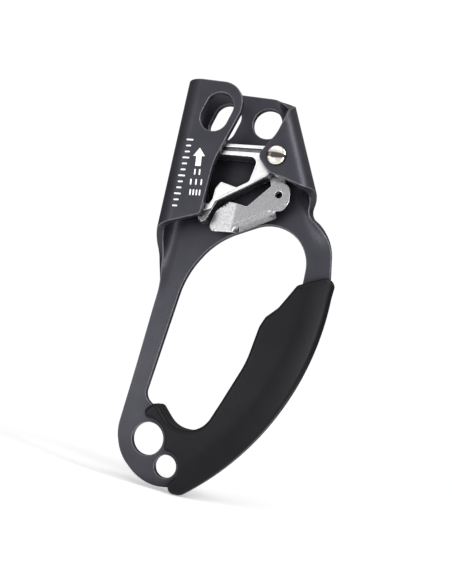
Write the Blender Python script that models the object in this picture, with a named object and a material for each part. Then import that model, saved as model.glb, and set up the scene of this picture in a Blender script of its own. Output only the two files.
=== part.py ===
"""Handled rope ascender: bent plate frame, moulded grip, sprung toothed cam and safety lever.

All lengths below are millimetres; mesh points are turned into metres when a mesh is made.
They are measured from the centre of the large lower eye, on the back plate's front face.
The frame's origin lies on that face too, a little way straight below the eye.
+X is to the right, +Z is up along the rope channel and -Y points at the user, so the back
plate lies behind the cam and both bent flaps lie in front of it.
"""
import bmesh
import bpy
from math import atan2, cos, degrees, exp, pi, radians, sin, tan
from mathutils import Vector
from mathutils.geometry import delaunay_2d_cdt

MM = 0.001
ORIGIN_DROP = 14.0      # how far the frame's origin lies below the large lower eye
GAP = 0.3               # clearance between neighbouring pieces

# Frame plate and its two bends
PLATE = 3.8             # plate thickness
MID_Y = PLATE / 2       # middle surface of the back plate
CHANNEL = 13.3          # clear depth between back plate and flaps
BEND_R = (CHANNEL + PLATE) / 2          # bend radius of the middle surface
FLAP_FRONT = -CHANNEL - PLATE           # front face of the flaps
LEFT_AXIS_X = -5.85     # the left bend turns about a vertical line
RIGHT_AXIS = (43.03, 142.5)             # a point on the right bend's axis
RIGHT_LEAN = radians(24.92)             # that axis leans left going up
TOP_Z = 179.0
LEFT_FADE = (60.0, 100.0)               # heights where the left bend goes from flat to full
RIGHT_FADE = (-45.0, -16.0)             # the same along the right bend's axis

# Eyes
MAIN_EYE = (0.0, 0.0, 8.08)             # x, z, radius
SMALL_EYE = (11.92, -11.12, 5.58)
TOP_EYE = (26.15, 165.8, 7.64)
SLOT = (3.97, 163.4)                    # oval eye through left flap and back plate
SLOT_R = 7.05
SLOT_HALF = 2.9                         # half of its straight length
SLOT_TILT = radians(16.0)

# Grip
GRIP_PROUD = 5.5                        # how far the grip stands out of the plate
GRIP_ROUND = 2.2                        # rounding of its long edges
GRIP_BACK_CENTRE = (-64.2, 85.6)        # centre and radius of its long outer edge
GRIP_BACK_R = 138.8
KEYS = ((64.0, 62.0), (53.5, 29.0), (30.5, -4.0))       # rubber plugs through the plate
KEY_R = 3.5

# Cam pivot
CAM_PIVOT = (38.0, 146.1)
AXLE_R = 3.0
SLEEVE_R = 4.2
CAM_BORE = SLEEVE_R + GAP
HEAD_R = 4.75
HEAD_H = 2.0
RIVET_WASHER = 1.0
CAM_SIDE_PLAY = 1.1
CAM_FRONT = -CHANNEL + CAM_SIDE_PLAY
CAM_BACK = -CAM_SIDE_PLAY
CHEEK = 1.4                             # the cam's thin side plates
FACE_START = 183.0                      # toothed face, in degrees about the pivot
FACE_END = 229.0
FACE_R = 43.4                           # radius at its upper end
FACE_GROWTH = 0.164                     # logarithmic spiral, per radian
TEETH = 14
TOOTH = 1.1
SPRING_POCKET_R = 6.6

# Safety lever
LEVER_PIVOT = (41.6, 128.8)
LEVER_FRONT = -10.7
LEVER_BACK = -3.5
LEVER_WALL = 1.6
LEVER_SLOPE = 2.3       # how far the bottom web drops from its front edge to its rear edge
PIN_R = 1.45
LUG_BACK = -CAM_SIDE_PLAY               # the cam's lug stands behind the lever
LUG_FRONT = LEVER_BACK + GAP
LUG_R = 3.8

# Springs: wire radius, coil radius on the wire's middle line
SPRING_R = 5.3
SPRING_WIRE = 0.5
SPRING_TURNS = 4
SPRING_LEG = 200.0      # where the cam spring's rear leg enters the cam, in degrees
LEVER_SPRING_R = 2.45
LEVER_SPRING_WIRE = 0.3

ROUND_STEPS = 32                        # facets of a full circle


# ---------------------------------------------------------------- outlines

def arc(centre, radius, start, end, steps):
    """Points on an arc, angles in degrees, both ends included."""
    turn = [radians(start + (end - start) * i / steps) for i in range(steps + 1)]
    return [(centre[0] + radius * cos(a), centre[1] + radius * sin(a)) for a in turn]


def circle(x, z, radius, steps=ROUND_STEPS):
    return arc((x, z), radius, 0, 360, steps)[:-1]


def stadium(start, end, radius, steps=10):
    """A slot or bar outline with round ends at two points."""
    heading = degrees(atan2(end[1] - start[1], end[0] - start[0]))
    far = arc(end, radius, heading - 90, heading + 90, steps)
    near = arc(start, radius, heading + 90, heading + 270, steps)
    return far + near


def rounded(corners):
    """Closed outline from (x, z, radius) corners; each corner becomes a tangent arc."""
    points = []
    count = len(corners)
    for i, (x, z, radius) in enumerate(corners):
        before = Vector(corners[i - 1][:2])
        after = Vector(corners[(i + 1) % count][:2])
        corner = Vector((x, z))
        if radius == 0:
            points.append((x, z))
            continue
        towards = (before - corner).normalized()
        away = (after - corner).normalized()
        half = towards.angle(away) / 2
        reach = radius / tan(half)
        centre = corner + (towards + away).normalized() * radius / sin(half)
        first = corner + towards * reach - centre
        sweep = first.angle_signed(corner + away * reach - centre)
        steps = max(2, round(abs(degrees(sweep)) / 12))
        start = atan2(first.y, first.x)
        for k in range(steps + 1):
            a = start - sweep * k / steps
            points.append((centre.x + radius * cos(a), centre.y + radius * sin(a)))
    return points


def signed_area(points):
    pairs = zip(points, points[1:] + points[:1])
    return sum(a[0] * b[1] - b[0] * a[1] for a, b in pairs) / 2


def grown(points, distance):
    """Outline with every side moved outwards by a distance (inwards if it is negative)."""
    side = 1 if signed_area(points) > 0 else -1
    moved = []
    for i, point in enumerate(points):
        here = Vector(point)
        coming = (here - Vector(points[i - 1])).normalized()
        going = (Vector(points[(i + 1) % len(points)]) - here).normalized()
        mitre = (coming + going) / (1 + coming.dot(going))
        moved.append((here.x + side * distance * mitre.y, here.y - side * distance * mitre.x))
    return moved


def inside(point, outline):
    x, z = point
    hit = False
    for (ax, az), (bx, bz) in zip(outline, outline[1:] + outline[:1]):
        if (az > z) != (bz > z) and x < (bx - ax) * (z - az) / (bz - az) + ax:
            hit = not hit
    return hit


# ---------------------------------------------------------------- meshes and objects

def material(name, colour, roughness, metallic):
    made = bpy.data.materials.new(name)
    made.use_nodes = True
    shader = made.node_tree.nodes["Principled BSDF"]
    shader.inputs["Base Color"].default_value = (*colour, 1.0)
    shader.inputs["Roughness"].default_value = roughness
    shader.inputs["Metallic"].default_value = metallic
    return made


def placed(point):
    """Position in metres, from the frame's origin, of a point measured from the lower eye."""
    return (Vector(point) + Vector((0, 0, ORIGIN_DROP))) * MM


def add_object(name, shape, finish=None, origin=(0.0, 0.0, 0.0), parent=None):
    """Turns a millimetre bmesh into an object whose origin is at the given point."""
    centre = Vector(origin)
    for vert in shape.verts:
        vert.co = (vert.co - centre) * MM
    bmesh.ops.recalc_face_normals(shape, faces=shape.faces)
    mesh = bpy.data.meshes.new(name)
    shape.to_mesh(mesh)
    shape.free()
    mesh.shade_smooth()
    mesh.set_sharp_from_angle(angle=radians(35))
    if finish:
        mesh.materials.append(finish)
    item = bpy.data.objects.new(name, mesh)
    bpy.context.collection.objects.link(item)
    item.location = placed(centre)
    if parent:
        item.parent = parent
        item.location -= parent.matrix_world.translation
    return item


def pivot(name, place):
    """An empty on a joint's axis, half way across the rope channel."""
    empty = bpy.data.objects.new(name, None)
    bpy.context.collection.objects.link(empty)
    empty.location = placed((place[0], -CHANNEL / 2, place[1]))
    bpy.context.view_layer.update()
    return empty


def prism(outline, y_front, y_back, back_outline=None):
    """Solid with the outline as its front view; the back may have its own outline."""
    shape = bmesh.new()
    front = [shape.verts.new((x, y_front, z)) for x, z in outline]
    back = [shape.verts.new((x, y_back, z)) for x, z in back_outline or outline]
    shape.faces.new(front)
    shape.faces.new(back[::-1])
    for i in range(len(outline)):
        k = (i + 1) % len(outline)
        shape.faces.new((front[i], back[i], back[k], front[k]))
    return shape


def turned(centre, profile, steps=ROUND_STEPS):
    """Solid of revolution about a line along Y; the profile is (radius, y) pairs, closed."""
    shape = bmesh.new()
    rings = []
    for radius, y in profile:
        if radius == 0:
            rings.append([shape.verts.new((centre[0], y, centre[1]))] * steps)
            continue
        rings.append([shape.verts.new((x, y, z)) for x, z in circle(*centre, radius, steps)])
    for first, second in zip(rings, rings[1:] + rings[:1]):
        for i in range(steps):
            k = (i + 1) % steps
            corners = dict.fromkeys((first[i], second[i], second[k], first[k]))
            if len(corners) > 2:
                shape.faces.new(list(corners))
    return shape


def ring(centre, inner, outer, y_front, y_back):
    return turned(centre, [(outer, y_front), (outer, y_back), (inner, y_back), (inner, y_front)])


def wire(path, radius, sides=8):
    """Round wire swept along a path of 3-D points, with flat ends."""
    shape = bmesh.new()
    points = [Vector(p) for p in path]
    side = None
    rings = []
    for i, point in enumerate(points):
        ahead = points[min(i + 1, len(points) - 1)] - points[max(i - 1, 0)]
        ahead.normalize()
        if side is None:
            side = ahead.orthogonal()
        side = (side - ahead * side.dot(ahead)).normalized()
        other = ahead.cross(side)
        loop = []
        for k in range(sides):
            a = 2 * pi * k / sides
            loop.append(shape.verts.new(point + (side * cos(a) + other * sin(a)) * radius))
        rings.append(loop)
    for first, second in zip(rings, rings[1:]):
        for i in range(sides):
            k = (i + 1) % sides
            shape.faces.new((first[i], second[i], second[k], first[k]))
    shape.faces.new(rings[0][::-1])
    shape.faces.new(rings[-1])
    return shape


def combine(target, name, shape, operation, parent=None):
    """Boolean of a tool shape with an object; the tool stays as a hidden guide."""
    tool = add_object(name, shape, parent=parent)
    tool.hide_render = True
    tool.display_type = "WIRE"
    step = target.modifiers.new(name, "BOOLEAN")
    step.operation = operation
    step.solver = "EXACT"
    step.object = tool
    return tool


# ---------------------------------------------------------------- frame

def fade(value, limits):
    """0 below the first limit, 1 above the second, smooth between."""
    t = (value - limits[0]) / (limits[1] - limits[0])
    t = min(1.0, max(0.0, t))
    return t * t * (3 - 2 * t)


def bend(past, strength, offset):
    """Position across a bend: (distance sideways, y) for a point past the bend's axis."""
    if past <= 0 or strength < 0.001:
        return past, MID_Y + offset
    radius = BEND_R / strength
    turn = past / radius
    if turn > pi:
        return pi * radius - past, MID_Y - 2 * radius - offset
    return (radius + offset) * sin(turn), MID_Y - radius + (radius + offset) * cos(turn)


def lean_parts(x, z):
    """Flat place as (distance past the right bend's axis, distance up along it)."""
    dx = x - RIGHT_AXIS[0]
    dz = z - RIGHT_AXIS[1]
    return dx * cos(RIGHT_LEAN) + dz * sin(RIGHT_LEAN), dz * cos(RIGHT_LEAN) - dx * sin(RIGHT_LEAN)


def lean_place(past, along):
    """The inverse of lean_parts."""
    x = RIGHT_AXIS[0] + past * cos(RIGHT_LEAN) - along * sin(RIGHT_LEAN)
    z = RIGHT_AXIS[1] + past * sin(RIGHT_LEAN) + along * cos(RIGHT_LEAN)
    return x, z


def folded(x, z, offset):
    """Where a point of the flat blank goes once both bends are made."""
    if x < LEFT_AXIS_X:
        sideways, y = bend(LEFT_AXIS_X - x, fade(z, LEFT_FADE), offset)
        return LEFT_AXIS_X - sideways, y, z
    past, along = lean_parts(x, z)
    if past > 0:
        sideways, y = bend(past, fade(along, RIGHT_FADE), offset)
        x, z = lean_place(sideways, along)
        return x, y, z
    return x, MID_Y + offset, z


def left_flap(x, z):
    """Flat-blank place of a point that ends up at x, z on the left flap."""
    return 2 * LEFT_AXIS_X - pi * BEND_R - x, z


def right_flap(x, z):
    """Flat-blank place of a point that ends up at x, z on the right flap."""
    past, along = lean_parts(x, z)
    return lean_place(pi * BEND_R - past, along)


def blank_outline():
    """Outer edge of the flat blank, starting at the left flap's top corner."""
    corners = [(*left_flap(x, z), r) for x, z, r in (
        (16.0, TOP_Z, 11.0), (15.9, 165.0, 6.0), (7.8, 139.0, 40.0), (6.8, 112.3, 2.5))]
    corners += [
        (-22.0, 102.6, 6.0), (-15.0, 92.5, 18.0), (-11.6, 76.0, 40.0), (-14.2, 35.0, 90.0),
        (-16.8, 0.5, 22.0), (-12.4, -10.8, 22.0), (-0.8, -20.0, 25.0), (9.1, -21.6, 20.0),
        (25.0, -19.1, 6.0)]
    corners += [(x, z, 0) for x, z in arc(GRIP_BACK_CENTRE, GRIP_BACK_R - 3.4, -46, -3, 8)]
    corners += [(*lean_place(past, along), r) for past, along, r in (
        (6.6, -56.5, 6.0), (11.3, -40.0, 22.0), (8.4, -29.5, 21.0), (3.6, -22.5, 5.0),
        (12.0, -15.6, 5.0), (22.5, -12.2, 12.0))]
    corners += [(*right_flap(x, z), r) for x, z, r in (
        (44.0, 135.9, 14.0), (36.2, 137.2, 8.0), (28.6, 145.0, 4.0))]
    corners += [(*lean_place(past, along), r) for past, along, r in (
        (27.0, 16.5, 12.0), (20.0, 27.0, 8.0), (10.3, 32.0, 14.0))]
    corners += [(28.4, TOP_Z, 6.0)]
    return rounded(corners)


def window_outline():
    """Hand opening between the left bar and the grip."""
    return rounded([
        (0.6, 83.8, 48.0), (12.8, 103.4, 40.0), (60.0, 128.5, 19.6), (60.0, 87.0, 6.0),
        (56.5, 74.0, 8.0), (47.3, 61.0, 30.0), (40.0, 35.0, 60.0), (29.0, 7.0, 9.0),
        (13.0, 7.0, 8.0), (-6.5, 20.0, 6.0)])


def slot_outline(centre, tilt):
    reach = (SLOT_HALF * sin(tilt), SLOT_HALF * cos(tilt))
    low = (centre[0] - reach[0], centre[1] - reach[1])
    high = (centre[0] + reach[0], centre[1] + reach[1])
    return stadium(low, high, SLOT_R)


def blank_holes():
    slot_mirror = slot_outline(left_flap(*SLOT), -SLOT_TILT)
    axle_front = right_flap(*CAM_PIVOT)
    holes = [circle(*MAIN_EYE, 40), circle(*SMALL_EYE), circle(*TOP_EYE, 40)]
    holes += [slot_outline(SLOT, SLOT_TILT), slot_mirror]
    holes += [circle(*CAM_PIVOT, AXLE_R + GAP, 24), circle(*axle_front, AXLE_R + GAP, 24)]
    holes += [circle(*key, KEY_R, 20) for key in KEYS]
    return holes + [window_outline()]


def fold_lines():
    """Lines across the blank that let the mesh follow both bends."""
    lines = []
    steps = 14
    for i in range(steps + 1):
        past = pi * BEND_R * i / steps
        x = LEFT_AXIS_X - past
        lines.append(((x, LEFT_FADE[0]), (x, TOP_Z + 5)))
        lines.append((lean_place(past, RIGHT_FADE[0]), lean_place(past, 45.0)))
    for i in range(7):
        z = LEFT_FADE[0] + (LEFT_FADE[1] - LEFT_FADE[0]) * i / 6
        along = RIGHT_FADE[0] + (RIGHT_FADE[1] - RIGHT_FADE[0]) * i / 6
        lines.append(((LEFT_AXIS_X - 24, z), (LEFT_AXIS_X, z)))
        lines.append((lean_place(0, along), lean_place(20, along)))
    return lines


def sheet(outline, holes, lines):
    """Triangles of a flat sheet: points, faces and directed rim edges."""
    points = []
    edges = []
    for loop in [outline] + holes:
        first = len(points)
        points += [Vector(p) for p in loop]
        edges += [(first + i, first + (i + 1) % len(loop)) for i in range(len(loop))]
    for start, end in lines:
        edges.append((len(points), len(points) + 1))
        points += [Vector(start), Vector(end)]
    flat, _, faces = delaunay_2d_cdt(points, edges, [], 0, 1e-4)[:3]
    kept = []
    for face in faces:
        middle = sum((flat[i] for i in face), Vector((0, 0))) / len(face)
        if inside(middle, outline) and not any(inside(middle, hole) for hole in holes):
            kept.append(tuple(face))
    directed = {(f[i], f[(i + 1) % len(f)]) for f in kept for i in range(len(f))}
    rim = [edge for edge in directed if edge[::-1] not in directed]
    return flat, kept, rim


def bent_plate(outline, holes, half_thickness):
    """Plate of even thickness from a flat sheet, with both bends made."""
    flat, faces, rim = sheet(outline, holes, fold_lines())
    shape = bmesh.new()
    used = sorted({i for face in faces for i in face})
    front = {i: shape.verts.new(folded(*flat[i], -half_thickness)) for i in used}
    back = {i: shape.verts.new(folded(*flat[i], half_thickness)) for i in used}
    for face in faces:
        shape.faces.new([front[i] for i in face])
        shape.faces.new([back[i] for i in reversed(face)])
    for a, b in rim:
        shape.faces.new((front[b], front[a], back[a], back[b]))
    return shape


def make_frame(finish):
    return add_object("frame", bent_plate(blank_outline(), blank_holes(), PLATE / 2), finish)


# ---------------------------------------------------------------- grip

def grip_outline():
    """Front view: long outer edge, top end, finger side, hook and the foot round both eyes."""
    outer = arc(GRIP_BACK_CENTRE, GRIP_BACK_R, -50.2, 0.0, 18)
    eye_margin = MAIN_EYE[2] + 2.0
    small_right = SMALL_EYE[0] + SMALL_EYE[2] + 1.8
    small_top = SMALL_EYE[1] + SMALL_EYE[2] + 1.8
    inner = rounded([
        (*outer[-1], 0), (75.5, 96.5, 3.4), (58.4, 88.2, 3.0), (51.6, 75.8, 14.0),
        (46.3, 70.2, 2.6), (44.2, 65.0, 12.0), (41.6, 47.0, 50.0), (33.6, 25.6, 60.0),
        (26.9, 8.6, 13.0), (11.6, 8.8, 13.0), (1.7, 19.0, 2.6), (-3.9, 13.4, 2.8),
        (-1.7, eye_margin, 2.6), (eye_margin, eye_margin, eye_margin), (eye_margin, small_top, 2.6),
        (small_right, small_top, SMALL_EYE[2] + 1.0), (small_right, -14.6, 3.0),
        (16.3, -17.8, 2.6), (16.3, -22.7, 3.0), (22.4, -22.95, 5.0), (*outer[0], 0)])
    return outer + inner[1:-1]


def grip_core_outline():
    """Part of the plate that the grip is moulded round, with clearance."""
    return grown(blank_outline(), GAP)


def make_grip(finish):
    outline = grip_outline()
    front = -GRIP_PROUD
    back = PLATE + GRIP_PROUD
    shape = bmesh.new()
    levels = [(front, GRIP_ROUND), (front + 0.35 * GRIP_ROUND, 0.3 * GRIP_ROUND),
              (front + GRIP_ROUND, 0.0), (back - GRIP_ROUND, 0.0),
              (back - 0.35 * GRIP_ROUND, 0.3 * GRIP_ROUND), (back, GRIP_ROUND)]
    rings = []
    for y, inset in levels:
        rings.append([shape.verts.new((x, y, z)) for x, z in grown(outline, -inset)])
    count = len(outline)
    for first, second in zip(rings, rings[1:]):
        for i in range(count):
            k = (i + 1) % count
            shape.faces.new((first[i], second[i], second[k], first[k]))
    for ring_of_verts in (rings[0], rings[-1]):
        fill = delaunay_2d_cdt([Vector((v.co.x, v.co.z)) for v in ring_of_verts], [],
                               [range(count)], 1, 1e-5)
        for face in fill[2]:
            shape.faces.new([ring_of_verts[i] for i in face])
    grip = add_object("grip", shape, finish)
    holes = [grown(window_outline(), -GAP)] + [circle(*key, KEY_R - GAP, 20) for key in KEYS]
    pocket = bent_plate(grip_core_outline(), holes, PLATE / 2 + GAP)
    combine(grip, "grip_pocket", pocket, "DIFFERENCE")
    return grip


# ---------------------------------------------------------------- cam and its axle

def face_radius(angle):
    """Radius of the cam's toothed face at an angle about the pivot, in degrees."""
    return FACE_R * exp(FACE_GROWTH * radians(angle - FACE_START))


def cam_place(angle, radius):
    a = radians(angle)
    return CAM_PIVOT[0] + radius * cos(a), CAM_PIVOT[1] + radius * sin(a)


def toothed_face():
    """Saw teeth that point down and towards the rope, from the top of the face down."""
    points = []
    pitch = (FACE_END - FACE_START) / TEETH
    for i in range(TEETH):
        angle = FACE_START + i * pitch
        points.append(cam_place(angle, face_radius(angle) - TOOTH))
        points.append(cam_place(angle + 0.75 * pitch, face_radius(angle)))
    points.append(cam_place(FACE_END, face_radius(FACE_END) - TOOTH))
    return points


def cam_body_outline():
    top = [(30.5, 151.4), (0.0, 149.0), (-3.6, 147.2)]
    lower = [(8.2, 110.6), (10.2, 115.8), (12.0, 120.6), (16.8, 124.3), (26.6, 131.1),
             (34.4, 137.6)]
    pocket = arc(CAM_PIVOT, SPRING_POCKET_R, 243, 134, 10)
    return top + toothed_face() + lower + pocket


def cheek_outline():
    side = [cam_place(184 + 7 * i, 42.4 + 0.35 * i) for i in range(6)]
    lower = [(6.0, 114.6), (10.3, 116.4), (11.5, 120.3), (16.8, 124.0), (26.6, 130.8),
             (34.4, 136.9)]
    boss = arc(CAM_PIVOT, 6.3, -105, 80, 14)
    return [(30.5, 151.4), (0.0, 149.0)] + side + lower + boss


def cam_window():
    """Opening between top bar, toothed wall and lower bar; the lower bar ends in a block."""
    return rounded([
        (3.0, 143.6, 2.0), (27.9, 145.0, 3.0), (27.2, 139.5, 12.0), (26.0, 132.6, 3.0),
        (20.5, 128.9, 0.4), (12.1, 130.5, 1.0), (10.0, 126.5, 4.0), (9.8, 121.4, 0.8),
        (8.6, 118.8, 0.8), (6.6, 118.6, 0.8), (3.2, 128.0, 8.0)])


def lug_outline():
    """Arm of the rear cheek that carries the lever's pin, from the boss to the pin."""
    return stadium((36.6, 140.2), LEVER_PIVOT, LUG_R)


def make_cam(finish, parent):
    front_split = CAM_FRONT + CHEEK
    back_split = CAM_BACK - CHEEK
    overlap = 0.4
    origin = (CAM_PIVOT[0], -CHANNEL / 2, CAM_PIVOT[1])
    body = prism(cam_body_outline(), front_split, back_split)
    cam = add_object("cam", body, finish, origin, parent)
    front = prism(cheek_outline(), CAM_FRONT, front_split + overlap)
    back = prism(cheek_outline(), back_split - overlap, CAM_BACK)
    combine(cam, "cam_front_cheek", front, "UNION", parent)
    combine(cam, "cam_back_cheek", back, "UNION", parent)
    combine(cam, "cam_lug", prism(lug_outline(), LUG_FRONT, LUG_BACK), "UNION", parent)
    clear = 2.0
    window = prism(cam_window(), CAM_FRONT - clear, CAM_BACK + clear)
    combine(cam, "cam_window_cut", window, "DIFFERENCE", parent)
    room = prism(circle(*CAM_PIVOT, SPRING_POCKET_R), front_split, back_split)
    combine(cam, "cam_spring_room", room, "DIFFERENCE", parent)
    bore = prism(circle(*CAM_PIVOT, CAM_BORE), CAM_FRONT - clear, CAM_BACK + clear)
    combine(cam, "cam_bore_cut", bore, "DIFFERENCE", parent)
    pin = prism(circle(*LEVER_PIVOT, PIN_R + GAP, 20), LUG_FRONT - clear, LUG_BACK + clear)
    combine(cam, "cam_pin_cut", pin, "DIFFERENCE", parent)
    leg = prism(circle(*cam_place(SPRING_LEG, SPRING_R), SPRING_WIRE + GAP, 12), back_split - 1,
                CAM_BACK + clear)
    combine(cam, "cam_leg_hole_cut", leg, "DIFFERENCE", parent)
    return cam


def make_axle(finish):
    """Rivet: domed head in front, shank, flattened head behind."""
    under_head = FLAP_FRONT - GAP
    dome = [(HEAD_R * cos(radians(a)), under_head - 0.5 - (HEAD_H - 0.5) * sin(radians(a)))
            for a in range(0, 90, 15)]
    rear = PLATE + 2 * GAP + RIVET_WASHER
    profile = [(0, under_head - HEAD_H)] + dome[::-1] + [(HEAD_R, under_head), (AXLE_R, under_head)]
    profile += [(AXLE_R, rear + GAP), (4.4, rear + GAP), (4.4, rear + 1.0), (3.4, rear + 1.6)]
    profile += [(0, rear + 1.6)]
    shape = turned(CAM_PIVOT, profile)
    origin = (CAM_PIVOT[0], -CHANNEL / 2, CAM_PIVOT[1])
    return add_object("cam_axle", shape, finish, origin)


def make_sleeve(finish):
    shape = ring(CAM_PIVOT, AXLE_R + GAP, SLEEVE_R, -CHANNEL + GAP, -GAP)
    return add_object("axle_sleeve", shape, finish)


def make_rivet_washer(finish):
    behind = PLATE + GAP
    shape = ring(CAM_PIVOT, AXLE_R + GAP, 6.0, behind, behind + RIVET_WASHER)
    return add_object("rivet_washer", shape, finish)


# ---------------------------------------------------------------- springs

def coil(centre, radius, y_start, y_end, start, turns, per_turn=20):
    """Points along a coil about a line along Y; start is in degrees."""
    points = []
    total = round(abs(turns) * per_turn)
    for i in range(total + 1):
        share = i / total
        a = radians(start) + 2 * pi * turns * share
        y = y_start + (y_end - y_start) * share
        points.append((centre[0] + radius * cos(a), y, centre[1] + radius * sin(a)))
    return points


def make_cam_spring(finish):
    """Torsion spring round the sleeve: one leg on the right bend, one in the cam's cheek."""
    y_front = -9.6
    y_back = -3.9
    turns = SPRING_TURNS + (SPRING_LEG - 90) / 360
    path = coil(CAM_PIVOT, SPRING_R, y_front, y_back, 90, turns)
    rest = (CAM_PIVOT[0] + 6.3, y_front, CAM_PIVOT[1] + SPRING_R)
    tail = cam_place(SPRING_LEG, SPRING_R)
    path = [rest] + path + [(tail[0], -2.9, tail[1]), (tail[0], -1.3, tail[1])]
    return add_object("cam_spring", wire(path, SPRING_WIRE), finish)


def make_lever_spring(finish):
    """Light torsion spring inside the lever: one leg under the cam, one on the lever's web."""
    y_front = -8.4
    y_back = -6.2
    path = coil(LEVER_PIVOT, LEVER_SPRING_R, y_front, y_back, 60, 2.75)
    up = (LEVER_PIVOT[0] - 4.8, y_front, LEVER_PIVOT[1] + 6.0)
    down = (LEVER_PIVOT[0] - 8.2, y_back, LEVER_PIVOT[1] - 6.4)
    return add_object("lever_spring", wire([up] + path + [down], LEVER_SPRING_WIRE, 6), finish)


# ---------------------------------------------------------------- safety lever

def lever_outline(drop=0.0):
    """Front view of the lever; drop lowers its bottom edge, square to that edge."""
    low_x = 0.35 * drop
    low_z = 0.94 * drop
    return rounded([
        (40.2, 136.0, 4.5), (32.4, 131.9, 2.0), (26.9, 121.2, 1.5), (18.0, 121.9, 2.5),
        (12.0, 115.6, 1.5), (10.9, 106.9, 2.0), (25.2 + low_x, 107.0, 0.8),
        (25.0 + low_x, 110.6 - low_z, 0.6), (31.5 + low_x, 116.2 - low_z, 6.0),
        (41.0 + low_x, 121.4 - low_z, 1.5), (47.4, 126.2, 3.5), (46.4, 133.6, 4.0)])


def lever_pocket(drop=0.0):
    """Room between the lever's two walls; the bottom web stays."""
    return [(18.5, 124.0), (18.5, 109.5), (23.5, 109.5), (31.0, 118.2 - drop),
            (40.5, 123.2 - drop), (50.0, 127.0), (50.0, 140.0), (28.0, 140.0)]


def make_lever(finish, parent):
    origin = (LEVER_PIVOT[0], -CHANNEL / 2, LEVER_PIVOT[1])
    shape = prism(lever_outline(), LEVER_FRONT, LEVER_BACK, lever_outline(LEVER_SLOPE))
    lever = add_object("safety_lever", shape, finish, origin, parent)
    slope = LEVER_SLOPE / (LEVER_BACK - LEVER_FRONT)
    room = prism(lever_pocket(slope * LEVER_WALL), LEVER_FRONT + LEVER_WALL,
                 LEVER_BACK - LEVER_WALL, lever_pocket(LEVER_SLOPE - slope * LEVER_WALL))
    combine(lever, "lever_pocket_cut", room, "DIFFERENCE", parent)
    bore = prism(circle(*LEVER_PIVOT, PIN_R + GAP, 20), LEVER_FRONT - 2, LEVER_BACK + 2)
    combine(lever, "lever_bore_cut", bore, "DIFFERENCE", parent)
    return lever


def make_pin(finish, parent):
    """Lever pin, sunk in front, with a thin head behind the cam's lug."""
    head = LUG_BACK + GAP
    shape = turned(LEVER_PIVOT, [
        (0, LEVER_FRONT + 1.0), (PIN_R, LEVER_FRONT + 1.0), (PIN_R, head),
        (2.4, head), (2.4, head + 0.5), (0, head + 0.5)], 20)
    origin = (LEVER_PIVOT[0], -CHANNEL / 2, LEVER_PIVOT[1])
    return add_object("lever_pin", shape, finish, origin, parent)


# ---------------------------------------------------------------- assembly

def clear_scene():
    for item in list(bpy.data.objects):
        bpy.data.objects.remove(item, do_unlink=True)


def build():
    clear_scene()
    anodised = material("anodised_aluminium", (0.055, 0.055, 0.065), 0.42, 0.6)
    rubber = material("grip_rubber", (0.017, 0.017, 0.019), 0.62, 0.0)
    chrome = material("chromed_steel", (0.78, 0.78, 0.79), 0.12, 1.0)
    nickel = material("nickelled_steel", (0.70, 0.67, 0.62), 0.18, 1.0)
    blasted = material("blasted_steel", (0.50, 0.50, 0.51), 0.45, 1.0)
    spring = material("spring_steel", (0.42, 0.42, 0.43), 0.30, 1.0)
    cam_axis = pivot("cam_pivot", CAM_PIVOT)
    lever_axis = pivot("lever_pivot", LEVER_PIVOT)
    make_frame(anodised)
    make_grip(rubber)
    make_cam(chrome, cam_axis)
    make_axle(nickel)
    make_sleeve(nickel)
    make_rivet_washer(nickel)
    make_cam_spring(spring)
    make_lever(blasted, lever_axis)
    make_pin(nickel, lever_axis)
    make_lever_spring(spring)


build()
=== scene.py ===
"""Looks of a handled rope ascender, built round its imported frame.

Lengths are millimetres, measured from the centre of the large lower eye on the back plate's
front face. They become metres from the frame's origin when a mesh is turned into a piece.
+X is to the right, +Z is up along the rope channel and -Y points at the user.
"""

from math import acos, atan2, ceil, cos, degrees, exp, hypot, pi, radians, sin, tan

import bmesh
import bpy
import numpy as np
from mathutils import Matrix, Vector
from mathutils.geometry import delaunay_2d_cdt


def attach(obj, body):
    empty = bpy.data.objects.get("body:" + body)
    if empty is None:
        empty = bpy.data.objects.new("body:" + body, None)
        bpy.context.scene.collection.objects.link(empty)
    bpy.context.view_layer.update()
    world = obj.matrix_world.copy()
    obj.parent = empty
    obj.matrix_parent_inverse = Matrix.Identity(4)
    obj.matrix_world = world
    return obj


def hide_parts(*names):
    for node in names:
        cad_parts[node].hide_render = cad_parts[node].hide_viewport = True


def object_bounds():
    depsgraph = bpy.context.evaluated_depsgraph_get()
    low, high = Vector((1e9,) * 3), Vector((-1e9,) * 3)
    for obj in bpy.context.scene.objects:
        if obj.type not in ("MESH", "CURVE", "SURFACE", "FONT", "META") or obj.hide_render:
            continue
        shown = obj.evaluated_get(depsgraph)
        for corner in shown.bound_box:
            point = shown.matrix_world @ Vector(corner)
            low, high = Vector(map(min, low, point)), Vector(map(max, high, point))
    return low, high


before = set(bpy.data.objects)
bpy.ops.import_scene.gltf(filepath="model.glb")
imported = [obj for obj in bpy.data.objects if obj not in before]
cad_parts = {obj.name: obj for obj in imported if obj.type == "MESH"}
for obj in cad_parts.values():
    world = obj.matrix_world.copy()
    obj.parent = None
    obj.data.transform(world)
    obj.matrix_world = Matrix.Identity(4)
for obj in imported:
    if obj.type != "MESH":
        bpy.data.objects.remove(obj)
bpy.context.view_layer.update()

MM = 0.001
ORIGIN_DROP = 14.0      # how far the frame's origin lies below the large lower eye
GAP = 0.3               # clearance between neighbouring pieces
FLATNESS = 0.008        # how far an arc's chords may stray from the arc
RIM_STEPS = 4           # steps round the rounded edge of a slab
INNER_MARGIN = 0.7      # least distance from a mesh point within a slab's face to its rims
SHARP_ANGLE = radians(40)

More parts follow.
